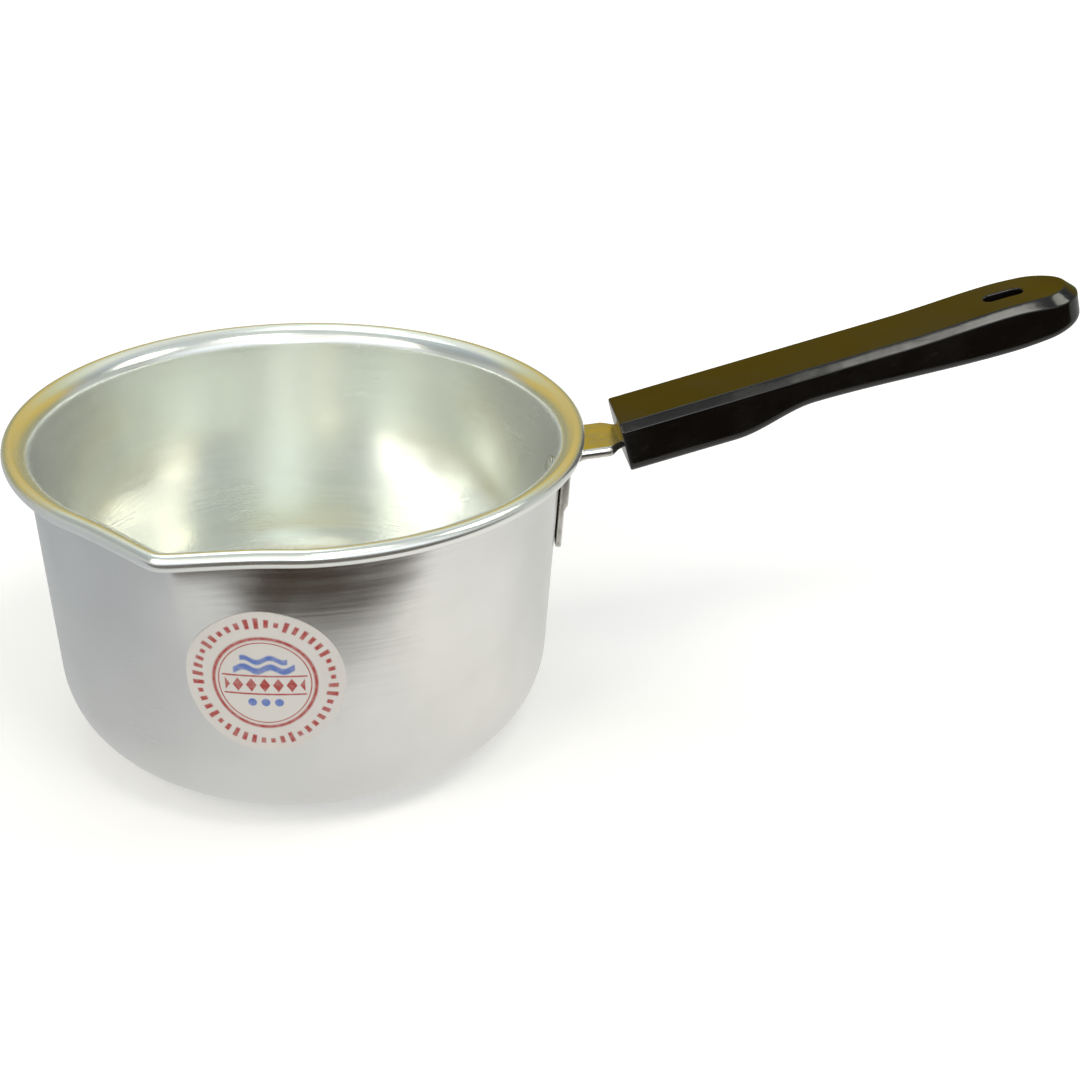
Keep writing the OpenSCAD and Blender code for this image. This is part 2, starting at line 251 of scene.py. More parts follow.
# The lip: at each angle from its axis, how far its flank lies outside the round rim. Two straight flanks meet in a
# rounded tip, and each blends into the circle.
def lipPush(angle):
    half, rim = lip["halfAngle"], pan["rimRadius"]
    near = np.clip(np.abs(angle), 0, half)
    bearing = np.radians(np.hypot(near, lip["tipRound"] * (1 - near / half)))
    tip = rim + lip["reach"]
    flank = tip * rim * sinOf(half) / (tip * np.sin(bearing) + rim * np.sin(rad(half) - bearing)) - rim
    fade = 1 - smooth((near / half - lip["blendShare"]) / (1 - lip["blendShare"]))
    return np.where(np.abs(angle) < half, flank * fade, 0)


# A profile point moved by the lip, which narrows and fades on its way down the wall. Angles are from the lip's axis.
def lipped(radius, height, angle):
    up = np.clip((height - lipBase) / (flareBase - lipBase), 0, 1)
    width = lip["narrowShare"] + (1 - lip["narrowShare"]) * up
    push = smooth(up) * lipPush(angle / width)
    turn = np.radians(angle + lip["azimuth"])
    drop = lip["dip"] * np.maximum(push, 0) / lip["reach"]
    return np.stack([(radius + push) * np.cos(turn), (radius + push) * np.sin(turn), height - drop], -1)


# The pan is one sheet: its section runs out along the outer face and back along the inner one, and turns about the
# middle, with closer steps through the lip. The texture space is the angle round the pan and the way along the section.
def makePan():
    outer, inner = sheetFace(-sheet / 2), sheetFace(sheet / 2)
    section = np.concatenate([outer, inner[::-1]])
    way = np.concatenate([[0], np.cumsum(np.hypot(*np.diff(section, axis=0).T))]) * mm
    lipSpan = lip["halfAngle"] + pan["lipMargin"]
    angles = np.concatenate([np.arange(-lipSpan, lipSpan, pan["lipStep"]),
                             np.arange(lipSpan, 360 - lipSpan, pan["roundStep"])])
    rings, steps = len(section) - 2, len(angles)
    wrapped = (angles + 180) % 360 - 180
    points = lipped(section[1:-1, 0][:, None], section[1:-1, 1][:, None], wrapped[None, :]).reshape(-1, 3)
    points = np.concatenate([points, [[0, 0, section[0, 1]], [0, 0, section[-1, 1]]]])
    share = np.append(angles, 360 + angles[0]) / 360

    def at(column, ring):
        return np.stack(np.broadcast_arrays(share[column], way[ring + 1]), -1)

    ring, column = np.arange(rings - 1)[:, None], np.arange(steps)
    corners = [np.stack([at(column, ring), at(column, ring + 1), at(column + 1, ring + 1), at(column + 1, ring)], -2)]
    middle = (share[:-1] + share[1:]) / 2
    for pole, ring, first in ((0, 0, 0), (-1, rings - 1, 1)):
        apex = np.stack([middle, 0 * middle + way[pole]], -1)
        corners.append(np.stack([apex, at(column + first, ring), at(column + 1 - first, ring)], 1))
    piece = makePiece("panBody", points, globeFaces(rings, steps, True),
                      np.concatenate([part.reshape(-1, 2) for part in corners]))
    piece["sectionLength"] = float(way[-1])
    return piece


panPiece = makePan()
print("stage: pan made,", len(panPiece.data.polygons), "faces")

grip = {
    "length": 143.5,
    "width": 24,
    "rootDepth": 15.8,
    "waistDepth": 11.2,
    "tailDepth": 13.6,
    "tipDepth": 12.2,
    "rootLength": 33,
    "stopLength": 25,
    "tipLength": 24,
    "noseLength": 13.5,
    "tailLift": 0.9,
    "swellLength": 32,
    "bevel": 2.2,
    "tipBevel": 3.2,
    "underRadius": 3,
    "rise": 15.5,
    "gap": 9.6,
    "drop": 0.4,
    "edgeRound": 0.7,
    "rootRound": 0.5,
    "slotLength": 12,
    "slotWidth": 4.6,
    "slotFromEnd": 22,
    "slotRound": 0.5,
    "tangDepth": 8.1,
    "socketGap": 0.3,
    "sideSteps": 72,
    "noseSteps": 41,
    "edgeSteps": 5,
    "underSteps": 9,
    "slotSteps": 21,
}
bracket = {
    "width": 20,
    "sheet": 1.8,
    "webDepth": 1,
    "webRadius": 5.5,
    "webLength": 14,
    "webEdge": 0.45,
    "webFillet": 0.9,
    "webFade": 1.3,
    "legLength": 26,
    "bendRadius": 4,
    "bendSteps": 22,
    "kneeSheets": 5,
    "kneeSteps": 6,
    "armRise": 6,
    "shoulderLength": 4,
    "shoulderEase": 0.8,
    "tangWidth": 13,
    "tangLength": 42,
    "tangEdge": 0.4,
    "tangChamfer": 0.3,
    "edgeRound": 1.3,
    "cutRound": 0.5,
    "gap": 0.05,
}
screw = {
    "place": 22,
    "radius": 2,
    "headRadius": 3.8,
    "headHeight": 2.4,
    "sink": 0.4,
}

gripAlong = np.array([cosOf(grip["rise"]), 0, sinOf(grip["rise"])])
gripUp = np.array([-sinOf(grip["rise"]), 0, cosOf(grip["rise"])])
gripRoot = np.array([pan["rimRadius"] + grip["gap"], 0, pan["height"] - grip["drop"]])
waistEnd = grip["rootLength"] + grip["stopLength"]
tailStart = grip["length"] - grip["tipLength"]


# Points given as (distance along the handle, sideways, height above its top face).
def onGrip(points):
    points = np.asarray(points, float)
    side = np.array([0, 1, 0])
    return gripRoot + points[..., :1] * gripAlong + points[..., 1:2] * side + points[..., 2:] * gripUp


# One measure of the handle that passes softly into another.
def eased(first, second, share):
    return grip[first] + (grip[second] - grip[first]) * smooth(share)


def tipShare(s):
    return (s - tailStart) / grip["tipLength"]


# Depth of the handle along its length: soft steps from the root to the waist, on to the tail and down to the tip.
def gripDepth(s):
    root = eased("rootDepth", "waistDepth", (s - grip["rootLength"]) / grip["stopLength"])
    waist = eased("waistDepth", "tailDepth", (s - waistEnd) / (tailStart - waistEnd))
    tail = eased("tailDepth", "tipDepth", tipShare(s))
    return np.where(s < waistEnd, root, np.where(s < tailStart, waist, tail))


# Height of the top face: it swells up towards the tail and falls again to the tip.
def gripLift(s):
    rising = smooth((s - tailStart + grip["swellLength"]) / grip["swellLength"])
    return grip["tailLift"] * np.where(s < tailStart, rising, 1 - smooth(tipShare(s)))


# The handle's skin: a plan outline from the root round the nose and back, and rows set in from it that go over the
# bevel, down the side and round the bottom edge. A row has its inset and its height, both as a share of the bevel and
# a length, then the way it faces and its part of the skin.
def makeGrip():
    noseRadius, noseLength = grip["width"] / 2, grip["noseLength"]
    noseStart = grip["length"] - noseLength
    sideS = np.concatenate([[0, 0.06, 0.2, 0.5], np.linspace(1.5, noseStart, grip["sideSteps"])[:-1]])
    turns = np.linspace(-90, 90, grip["noseSteps"])
    outline = np.concatenate([np.stack([sideS, 0 * sideS - 90], 1), np.stack([0 * turns + noseStart, turns], 1),
                              np.stack([sideS[::-1], 0 * sideS + 90], 1)])
    edge, under = grip["edgeRound"], grip["underRadius"]
    # How far back the rounding of an edge of 45 degrees begins.
    back = edge * tan(rad(22.5))
    rows = [(1, back * share, 0, 0, 90, "top") for share in (5, 2.5, 1.25)]
    rows += [(1, back - edge * cosOf(turn), 0, -edge * (1 - sinOf(turn)), turn, "top")
             for turn in np.linspace(90, 45, grip["edgeSteps"])]
    rows += [(1 - share, 0, -share, 0, 45, "top") for share in (0.35, 0.65)]
    rows += [(0, edge * (1 - cosOf(turn)), -1, edge * sinOf(turn) - back, turn, "top")
             for turn in np.linspace(45, 0, grip["edgeSteps"])]
    rows += [(0, 0, share, 0, 0, "side") for share in (0.05, 0.5, 0.95)]
    rows += [(0, under * (1 - cosOf(turn)), 0, under * (1 + sinOf(turn)), turn, "bottom")
             for turn in np.linspace(0, -90, grip["underSteps"])]
    rows += [(0, under * share + 0.1, 0, 0, -90, "bottom") for share in (1.1, 2.0)]
    along, across = np.cos(np.radians(outline[:, 1])), np.sin(np.radians(outline[:, 1]))
    s = outline[:, 0] + noseLength * along
    depth, top = gripDepth(s), gripLift(s)
    bevel = eased("bevel", "tipBevel", tipShare(s))
    upper = top - bevel - back
    r = grip["rootRound"]
    rings = []
    for bevelShare, inset, dropShare, height, facing, kind in rows:
        inset = inset + bevelShare * bevel
        if kind == "top":
            h = top + dropShare * bevel + height
        elif kind == "side":
            h = upper + dropShare * (under - depth - upper)
        else:
            h = height - depth
        x = outline[:, 0] + (noseLength - inset) * along
        y = (noseRadius - inset) * across
        # The skin draws in at the root, as a moulded edge does.
        pull = np.where(x < r, r - np.sqrt(np.maximum(r * r - (r - x) ** 2, 0)), 0)
        y = y - np.sign(y) * pull * cosOf(facing)
        h = h - pull * sinOf(facing)
        rings.append(np.stack([x, y, h], 1))
    steps = len(outline)
    last = (len(rows) - 1) * steps
    faces = []
    for start in range(0, last, steps):
        faces += [[k, k + 1, k + steps + 1, k + steps] for k in range(start, start + steps - 1)]
        faces.append([start, start + steps, start + 2 * steps - 1, start + steps - 1])
    # The ends are closed by strips that run from one side of the outline to the other.
    for start, flip in ((0, True), (last, False)):
        for k in range((steps - 1) // 2):
            mirror = steps - 1 - k
            face = [start + k, start + k + 1, start + mirror - 1, start + mirror]
            if mirror - 1 == k + 1:
                del face[2]
            faces.append(face[::-1] if flip else face)
    return makePiece("handleGrip", onGrip(np.concatenate(rings)), faces, sharpAngle=28)


# A cutter box along the handle, from corner to corner in the handle's own directions.
def gripBox(name, low, high):
    points = [[x, y, z] for x in (low[0], high[0]) for y in (low[1], high[1]) for z in (low[2], high[2])]
    faces = [[0, 1, 3, 2], [4, 6, 7, 5], [0, 4, 5, 1], [2, 3, 7, 6], [0, 2, 6, 4], [1, 5, 7, 3]]
    return makePiece(name, onGrip(points), faces)


# The slot's cutter opens in a small quarter round at the top face. A row has its growth, its height and whether it
# follows the face's lift.
def slotCutter():
    half, r, steps = grip["slotWidth"] / 2, grip["slotRound"], grip["slotSteps"]
    reach = (grip["slotLength"] - grip["slotWidth"]) / 2
    centre = grip["length"] - grip["slotFromEnd"]
    turns = np.concatenate([np.linspace(-90, 90, steps), np.linspace(90, 270, steps)])
    shift = np.repeat([reach, -reach], steps)
    under = gripDepth(np.array(centre))
    rows = [(0.8, -under - 1, 0), (0.4, -under, 0), (0, -under + 0.5, 0)]
    rows += [(r * (1 - cosOf(t)), -r + r * sinOf(t), 1) for t in (0, 22.5, 45, 67.5, 84)]
    rows += [(r * 1.4, 0.6, 1)]
    points = []
    for grow, height, follow in rows:
        for turn, move in zip(turns, shift):
            s = centre + move + (half + grow) * cosOf(turn)
            points.append([s, (half + grow) * sinOf(turn), height + follow * float(gripLift(np.array(s)))])
    return makePiece("slotCutter", onGrip(points), tubeFaces(len(rows), len(turns), True))


gripPiece = makeGrip()
tangMiddle = -grip["tangDepth"]
room = grip["socketGap"]
plateHalf = bracket["sheet"] / 2
tangHalf = bracket["tangWidth"] / 2
underside = -grip["rootDepth"]
seat = screw["headHeight"] + screw["sink"] + underside
tip = plateHalf + screw["radius"] / 2 + tangMiddle
bore, headBore = screw["radius"] + room, screw["headRadius"] + room
screwAxis = onGrip([screw["place"], 0, 0])
cutAway(gripPiece, [
    gripBox("socketCutter", [-1, -tangHalf - room, tangMiddle - plateHalf - room],
            [bracket["tangLength"] + room, tangHalf + room, tangMiddle + plateHalf + room]),
    turned("boreCutter", [(0, tip + room), (bore, tip + room), (bore, seat), (headBore, seat),
                          (headBore, underside - 1), (0, underside - 1)], screwAxis, gripUp),
    slotCutter()], sharpAngle=28)
print("stage: handle made,", len(gripPiece.data.polygons), "faces")

# The bracket's path from the side: up the wall, round the bend, along the arm, through the knee, into the handle.
legInward = -sheet / 2 - bracket["gap"] - plateHalf
bendMiddle = bracket["bendRadius"] + plateHalf
kneeRadius = bracket["kneeSheets"] * bracket["sheet"]
along2 = gripAlong[[0, 2]]
up2 = gripUp[[0, 2]]
tangRoot = gripRoot[[0, 2]] - grip["tangDepth"] * up2 - bracket["gap"] * along2
kneeCentre = tangRoot + kneeRadius * up2
armDown = np.array([sinOf(bracket["armRise"]), -cosOf(bracket["armRise"])])
kneeStart = kneeCentre + kneeRadius * armDown


# Centre of an arc that runs at a distance from the middle of both the leg and the arm.
def cornerCentre(distance):
    rise = tan(rad(bracket["armRise"]))
    height = kneeStart[1] - kneeStart[0] * rise - distance / cosOf(bracket["armRise"])
    x = (wallAt(height, legInward) + distance / cos(taper)) / (1 - rise * tan(taper))
    return np.array([x, height + x * rise])


bendCentre = cornerCentre(bendMiddle)
legTop = bendCentre[1] + bendMiddle * sin(taper)
legLow = legTop - bracket["legLength"]
webLow = legTop - bracket["webLength"]


# Distance from a point of the path, along its facing, to the edge of the web.
def webReach(point, facing, edge):
    d, r = np.diff(edge, axis=0).T, (edge[:-1] - point).T
    det = facing[1] * d[0] - facing[0] * d[1]
    det = np.where(np.abs(det) < 1e-9, np.nan, det)
    reach = (r[1] * d[0] - r[0] * d[1]) / det
    share = (facing[0] * r[1] - facing[1] * r[0]) / det
    met = reach[(share >= -1e-6) & (share <= 1 + 1e-6) & (reach > 0)]
    return met.min() if len(met) else 0


# Half of the bracket's section as (sideways, away from the pan): the face towards the pan, the folded edge, the end of
# the web and the hollow face.
def bracketSection(half, web, sheetNow, edge):
    t, r, e, foot = sheetNow / 2, edge, bracket["webEdge"], bracket["webFillet"]
    hollow = half - sheetNow
    grown = min(web / foot, 1)
    fillet = foot * grown + 0.02

    def quarter(steps):
        return [(sinOf(a), cosOf(a)) for a in np.linspace(0, 90, steps)]

    rows = [(0, -t), (half * 0.45, -t), (half * 0.8, -t)]
    rows += [(half - r + r * up, -t + r - r * along) for up, along in quarter(7)]
    rows += [(half - e + e * along, t + web - e + e * up) for up, along in quarter(4)]
    rows += [(hollow + e - e * up, t + web - e * grown * (1 - along)) for up, along in quarter(4)]
    rows += [(hollow - 0.02 - fillet * (1 - along), t + fillet * min(web, foot) * (1 - up)) for up, along in quarter(5)]
    rows += [(half * 0.6 - 0.5, t), (half * 0.3, t)]
    return np.array(rows)


# The bracket is its section carried along the path and square to it, with the hollow face outwards, then down.
def makeBracket():
    slope = degrees(taper)
    rise = bracket["armRise"]
    bend = arc(bendCentre, bendMiddle, 180 - slope, 90 + rise, bracket["bendSteps"])
    bendFacing = (bendCentre - bend) / bendMiddle
    # Sections lie close together at the rounded end and at both ends of the web.
    legWays = np.array([0, 0.05, 0.2, 0.5, 1, 3, 6, 9, 10.5, 11.5, 12, 12.5, 13, 13.5, 14, 15, 16, 18, *range(20, 26)])
    legStart = np.array([wallAt(legLow, legInward), legLow])
    toBend = bend[0] - legStart
    leg = legStart + toBend * (legWays / np.linalg.norm(toBend))[:, None]
    arm = kneeStart - bend[-1]
    armLength = np.linalg.norm(arm)
    armWays = np.concatenate([np.arange(0.6, 4, 0.6), np.linspace(4, armLength - 3.7, 5), armLength - np.array(
        [3.4, 3.15, 2.9, 2.65, 2.4, 2.15, 1.9, 1.65, 1.4, 1.2, 1.0, 0.7, 0.45, 0.25, 0.1, 0])])
    armPoints = bend[-1] + arm * (armWays / armLength)[:, None]
    kneeShares = np.arange(1, bracket["kneeSteps"] + 1) / bracket["kneeSteps"]
    kneeTurns = np.radians(rise - 90 + (grip["rise"] - rise) * kneeShares)
    knee = kneeCentre + kneeRadius * np.stack([np.cos(kneeTurns), np.sin(kneeTurns)], 1)
    kneeLength = kneeRadius * rad(grip["rise"] - rise)
    tangWays = np.array([0.01, 10, 20, 30, 38, 41, 41.6, 41.9, 42.0])
    tang = tangRoot + along2 * tangWays[:, None]
    path = np.concatenate([leg, bend, armPoints, knee, tang])
    downs = np.concatenate([np.tile(bendFacing[0], (len(leg), 1)), bendFacing, np.tile(armDown, (len(armPoints), 1)),
                            (knee - kneeCentre) / kneeRadius, np.tile(-up2, (len(tang), 1))])
    webDepth, hollow, webFull = bracket["webDepth"], legInward - plateHalf, webLow + 2 * bracket["webDepth"]
    webEnd = kneeStart + (plateHalf + webDepth) * armDown + 0.01 * arm / armLength
    edge = np.concatenate([
        [[wallAt(webLow, hollow), webLow], [wallAt(webFull, hollow - webDepth), webFull]],
        arc(cornerCentre(plateHalf + webDepth + bracket["webRadius"]), bracket["webRadius"], 180 - slope, 90 + rise,
            24), [webEnd]])
    full = bracket["width"] / 2
    slant = (full - tangHalf - bracket["sheet"] / 4) / bracket["shoulderLength"]
    ease = slant * bracket["shoulderEase"]
    cut, fade = bracket["cutRound"], bracket["webFade"]
    firstArm = len(leg) + len(bend)
    firstKnee, firstTang = firstArm + len(armPoints), len(path) - len(tang)
    loops = []
    for k, (point, facing) in enumerate(zip(path, downs)):
        web = max(webReach(point, facing, edge) - plateHalf, 0) if k < firstKnee else 0
        half, sheetNow, roundNow = full, bracket["sheet"], bracket["edgeRound"]
        if firstArm <= k < firstTang:
            # It narrows to the tang in slanted shoulders that begin in a soft curve, and the web runs out on them.
            left = kneeLength * (1 - kneeShares[k - firstKnee]) if k >= firstKnee else (
                kneeLength + armLength - armWays[k - firstArm])
            narrowed = slant * (bracket["shoulderLength"] - left)
            half -= narrowed if narrowed > ease else max(narrowed + ease, 0) ** 2 / (4 * ease)
            web *= max(0, 1 - (full - half) / sheetNow)
            web *= sqrt(max(1 - max(fade - (left - kneeLength), 0) ** 2 / fade ** 2, 0))
        if k < len(leg) and legWays[k] <= cut:
            # The cut end of the leg is rounded off.
            inset = cut - sqrt(cut ** 2 - (cut - legWays[k]) ** 2)
            half, sheetNow, roundNow = half - inset, sheetNow - 2 * inset, roundNow - inset
            roundNow = min(roundNow, sheetNow * 0.6)
        if k >= firstTang:
            inset = max(bracket["tangChamfer"] - (bracket["tangLength"] - tangWays[k - firstTang]), 0)
            half, sheetNow, roundNow = tangHalf - inset, sheetNow - 2 * inset, bracket["tangEdge"]
        section = bracketSection(half, web, sheetNow, roundNow)
        section = np.concatenate([section, (section * [-1, 1])[:0:-1]])
        xz = point + section[:, 1:] * facing
        loops.append(np.stack([xz[:, 0], section[:, 0], xz[:, 1]], 1))
    return makePiece("handleBracket", np.concatenate(loops), tubeFaces(len(loops), len(loops[0])), sharpAngle=40)


bracketPiece = makeBracket()

rivet = {
    "radius": 2.2,
    "headRadius": 3.6,
    "headHeight": 1.5,
    "pitch": 14.5,
    "edge": 0.3,
}


# Rivet heads are shallow domes with a small upright edge. The inner head rests on the hollow side of the wall.
def makeRivets():
    innerRadius = wallRadius - sheet
    hollow = innerRadius - sqrt(innerRadius ** 2 - rivet["headRadius"] ** 2)
    inner = -sheet - hollow - bracket["gap"]
    outer = 2 * bracket["gap"] + bracket["sheet"]
    brim, r, shank = rivet["edge"], rivet["headRadius"], rivet["radius"]
    rise = rivet["headHeight"] - brim
    ball = (r * r + rise * rise) / (2 * rise)
    dome = [(r * sinOf(a), brim + sqrt(ball ** 2 - (r * sinOf(a)) ** 2) - (ball - rise))
            for a in np.linspace(86, 0, 12)]
    profile = [(x, inner - h) for x, h in dome[::-1]]
    profile += [(r, inner - brim), (r, inner), (shank, inner), (shank, outer), (r, outer), (r, outer + brim)]
    profile += [(x, outer + h) for x, h in dome]
    away = [cos(taper), 0, -sin(taper)]
    whole = bmesh.new()
    for k in range(2):
        height = legTop - rivet["headRadius"] - grip["socketGap"] - k * rivet["pitch"]
        start = [wallAt(height, -sheet / 2), 0, height]
        made = turned("rivet", profile, start, away)
        whole.from_mesh(made.data)
        bpy.data.objects.remove(made)
        for piece, low, high in ((panPiece, -6, 0.5), (bracketPiece, -0.02, 6)):
            cutAway(piece, [drill(shank + bracket["gap"], low, high, start, away)], sharpAngle=38)
    mesh = bpy.data.meshes.new("bracketRivets")
    whole.to_mesh(mesh)
    whole.free()
    shade(mesh, 40)
    return linked("bracketRivets", mesh)


rivetPiece = makeRivets()
cutAway(bracketPiece, [drill(screw["radius"] + bracket["gap"], tangMiddle - 3, tangMiddle + 3, screwAxis, gripUp)],
        sharpAngle=40)
print("stage: bracket and rivets made")

label = {
    "diameter": 44.5,
    "thickness": 0.16,
    "height": 54,
    "azimuth": -99,
    "gap": 0.05,
    "rings": 24,
    "spokes": 128,
}


# The label is a disc that lies on the wall. Its texture space is the place on the flat paper, from -1 to 1.
def makeLabel():
    rings, spokes = label["rings"], label["spokes"]
    turns = np.arange(spokes) * 2 * pi / spokes
    reach = np.concatenate([np.arange(1, rings + 1), np.arange(rings, 0, -1)]) / rings
    lift = np.concatenate([np.zeros(rings), np.full(rings, label["thickness"])])
    flat = np.stack([reach[:, None] * np.cos(turns), reach[:, None] * np.sin(turns)], -1).reshape(-1, 2)
    flat = np.concatenate([flat, [[0, 0], [0, 0]]])
    lifts = np.concatenate([np.repeat(lift, spokes), [0, label["thickness"]]])
    height = label["height"] + flat[:, 1] * label["diameter"] / 2
    turn = label["azimuth"] - lip["azimuth"] + np.degrees(flat[:, 0] * label["diameter"] / 2 / wallRadius)
    points = lipped(wallAt(height, -sheet / 2 - label["gap"]) + lifts, height, turn)
    faces = globeFaces(2 * rings, spokes)
    return makePiece("label", points, faces, [flat[k] for f in faces for k in f], sharpAngle=60)


labelPiece = makeLabel()
print("stage: label made")

dressed = {"pan_body": (panPiece, "aluminium"), "handle_grip": (gripPiece, "black_phenolic"),
           "handle_bracket": (bracketPiece, "plated_steel"), "bracket_rivets": (rivetPiece, "rivet_aluminium"),
           "label": (labelPiece, "label_paper")}
for node, (piece, finish) in dressed.items():
    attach(piece, "root")
    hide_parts(node)


# A value for a socket, linked where the value is another node's output.
def put(socket, value):
    if isinstance(value, bpy.types.NodeSocket):
        socket.id_data.links.new(value, socket)
    else:
        socket.default_value = value


# The outputs of a new shader node, with values for its inputs. The functions below find the tree from their values.
def add(tree, kind, values=None, **settings):
    made = tree.nodes.new("ShaderNode" + kind)
    for name, value in settings.items():
        setattr(made, name, value)
    for name, value in (values or {}).items():
        put(made.inputs[name], value)
    return made.outputs


# A material, the inputs of its shader and the place of a point on its object.
def newMaterial(name, **fixed):
    material = bpy.data.materials.new(name)
    material.use_nodes = True
    inputs = material.node_tree.nodes["Principled BSDF"].inputs
    for key, value in fixed.items():
        put(inputs[key.replace("_", " ")], value)
    return material, inputs, add(material.node_tree, "TexCoord")["Object"]


# The two coordinates of a piece's texture space.
def surfaceOf(tree):
    return add(tree, "SeparateXYZ", {"Vector": add(tree, "UVMap", uv_map="surface")["UV"]})[:2]


def noise(vector, scale, detail=3.0, rough=0.5):
    values = {"Vector": vector, "Scale": scale, "Detail": detail, "Roughness": rough}
    return add(vector.id_data, "TexNoise", values)["Fac"]


# Distance to the nearest of the scattered points.
def cells(vector, scale):
    return add(vector.id_data, "TexVoronoi", {"Vector": vector, "Scale": scale})["Distance"]


# A pattern's vector, stretched or turned about the origin.
def mapped(vector, **values):
    return add(vector.id_data, "Mapping", {"Vector": vector, **values})[0]


# A value moved from one range to another and held there.
def spread(value, low, high, newLow=0.0, newHigh=1.0):
    ends = {"From Min": low, "From Max": high, "To Min": newLow, "To Max": newHigh}
    return add(value.id_data, "MapRange", {"Value": value, **ends})["Result"]


# 1 below low, 0 above high and soft between them.
def below(value, low, high):
    return spread(value, low, high, 1.0, 0.0)


# One operation on a value, or on several from left to right.
def calc(operation, first, *others):
    for other in others or (0.0,):
        first = add(first.id_data, "Math", {0: first, 1: other}, operation=operation)[0]
    return first


def times(first, second):
    return calc("MULTIPLY", first, second)


def mixColour(share, first, second):
    return add(share.id_data, "Mix", {0: share, 6: first, 7: second}, data_type="RGBA")[2]


# Colours along a value, each given as a place from 0 to 1 and the colour's three parts.
def ramp(value, stops):
    made = add(value.id_data, "ValToRGB", {0: value})
    marks = made[0].node.color_ramp.elements
    while len(marks) < len(stops):
        marks.new(0.5)
    for mark, (place, *colour) in zip(marks, stops):
        mark.position = place
        mark.color = (*colour, 1)
    return made[0]


def mixShader(share, first, second):
    return add(share.id_data, "MixShader", {0: share, 1: first, 2: second})[0]


def light(tree, kind, colour, strength):
    return add(tree, kind, {"Color": colour, "Strength": strength})[0]


# A bump in the surface, over the normal of an earlier one where there is one.
def bumped(inputs, height, distance, strength=1.0, normal=None):
    values = {"Height": height, "Distance": distance, "Strength": strength}
    if normal is not None:
        values["Normal"] = normal
    made = add(height.id_data, "Bump", values)["Normal"]
    put(inputs["Normal"], made)
    return made


aluminium = {
    "colour": (0.89, 0.895, 0.875, 1),
    "dull": (0.81, 0.815, 0.785, 1),
    "insideLitColour": (0.95, 0.968, 0.935, 1),
    "insideLitDull": (0.89, 0.912, 0.88, 1),
    "metallicOutside": 0.96,
    "metallicInside": 0.88,
    "roughness": 0.17,
    "insideRougher": 0.02,
    "anisotropy": 0.3,
    "linesPerTurn": 1.2,
    "linesPerMetre": 1400,
    "lineDepth": 0.000004,
    "bandsPerTurn": 0.8,
    "bandsPerMetre": 90,
    "bandDepth": 0.00012,
    "cloudScale": 26.0,
    "nickScale": 160.0,
    "nickSize": 0.06,
    "nickDepth": 0.00003,
}


# Spun aluminium: fine lines run round the pan, so their noise is read at a place that turns with the angle and moves
# with the way along the section. Faint roller bands, cloudy wiping marks and nicks lie over it. The inside, which is
# the section's second half, is a little lighter: painted light that brightens the pan's interior.
def makeAluminium():
    material, inputs, place = newMaterial("aluminium", Anisotropic=aluminium["anisotropy"], Anisotropic_Rotation=0.25)
    tree = place.id_data
    parts = add(tree, "SeparateXYZ", {"Vector": place})
    flat = add(tree, "CombineXYZ", {"X": parts["X"], "Y": parts["Y"]})[0]
    outwards = add(tree, "VectorMath", {0: flat}, operation="NORMALIZE")[0]
    turn = add(tree, "SeparateXYZ", {"Vector": outwards})
    way = surfaceOf(tree)[1]
    half = panPiece["sectionLength"] / 2
    inside = spread(way, half - mm, half + mm)
    put(inputs["Metallic"], spread(inside, 0.0, 1.0, aluminium["metallicOutside"], aluminium["metallicInside"]))

    def lines(perTurn, perMetre, detail, rough):
        x, y, z = times(turn["X"], perTurn), times(turn["Y"], perTurn), times(way, perMetre)
        return noise(add(tree, "CombineXYZ", {"X": x, "Y": y, "Z": z})[0], 1.0, detail, rough)

    fine = lines(aluminium["linesPerTurn"], aluminium["linesPerMetre"], 4.0, 0.65)
    bands = lines(aluminium["bandsPerTurn"], aluminium["bandsPerMetre"], 2.0, 0.5)
    clouds = noise(place, aluminium["cloudScale"], 4.0, 0.6)
    nicks = cells(place, aluminium["nickScale"])
    cloudy = spread(clouds, 0.35, 0.75, 0.0, 0.75)
    outer = mixColour(cloudy, aluminium["colour"], aluminium["dull"])
    # The inside's lighter colours are painted light that brightens the interior.
    inner = mixColour(cloudy, aluminium["insideLitColour"], aluminium["insideLitDull"])
    put(inputs["Base Color"], mixColour(inside, outer, inner))
    rough = spread(clouds, 0.3, 0.7, aluminium["roughness"] - 0.05, aluminium["roughness"] + 0.08)
    put(inputs["Roughness"], calc(
        "ADD", rough, spread(fine, 0.3, 0.7, -0.05, 0.05), times(inside, aluminium["insideRougher"])))
    put(inputs["Tangent"], add(tree, "Tangent", direction_type="UV_MAP", uv_map="surface")[0])
    first = bumped(inputs, bands, aluminium["bandDepth"])
    second = bumped(inputs, fine, aluminium["lineDepth"], 1.0, first)
    bumped(inputs, spread(nicks, 0.0, aluminium["nickSize"]), aluminium["nickDepth"], 0.5, second)
    return material


phenolic = {
    "colour": (0.0035, 0.003, 0.0026, 1),
    "worn": (0.011, 0.010, 0.009, 1),
    "roughness": 0.13,
    "cloudScale": 60.0,
    "speckScale": 900.0,
    "speckDepth": 0.000006,
    "rippleScale": 140.0,
    "rippleDepth": 0.00012,
    "scratchTurn": 6,
    "scratchScale": (40.0, 2200.0, 900.0),
}


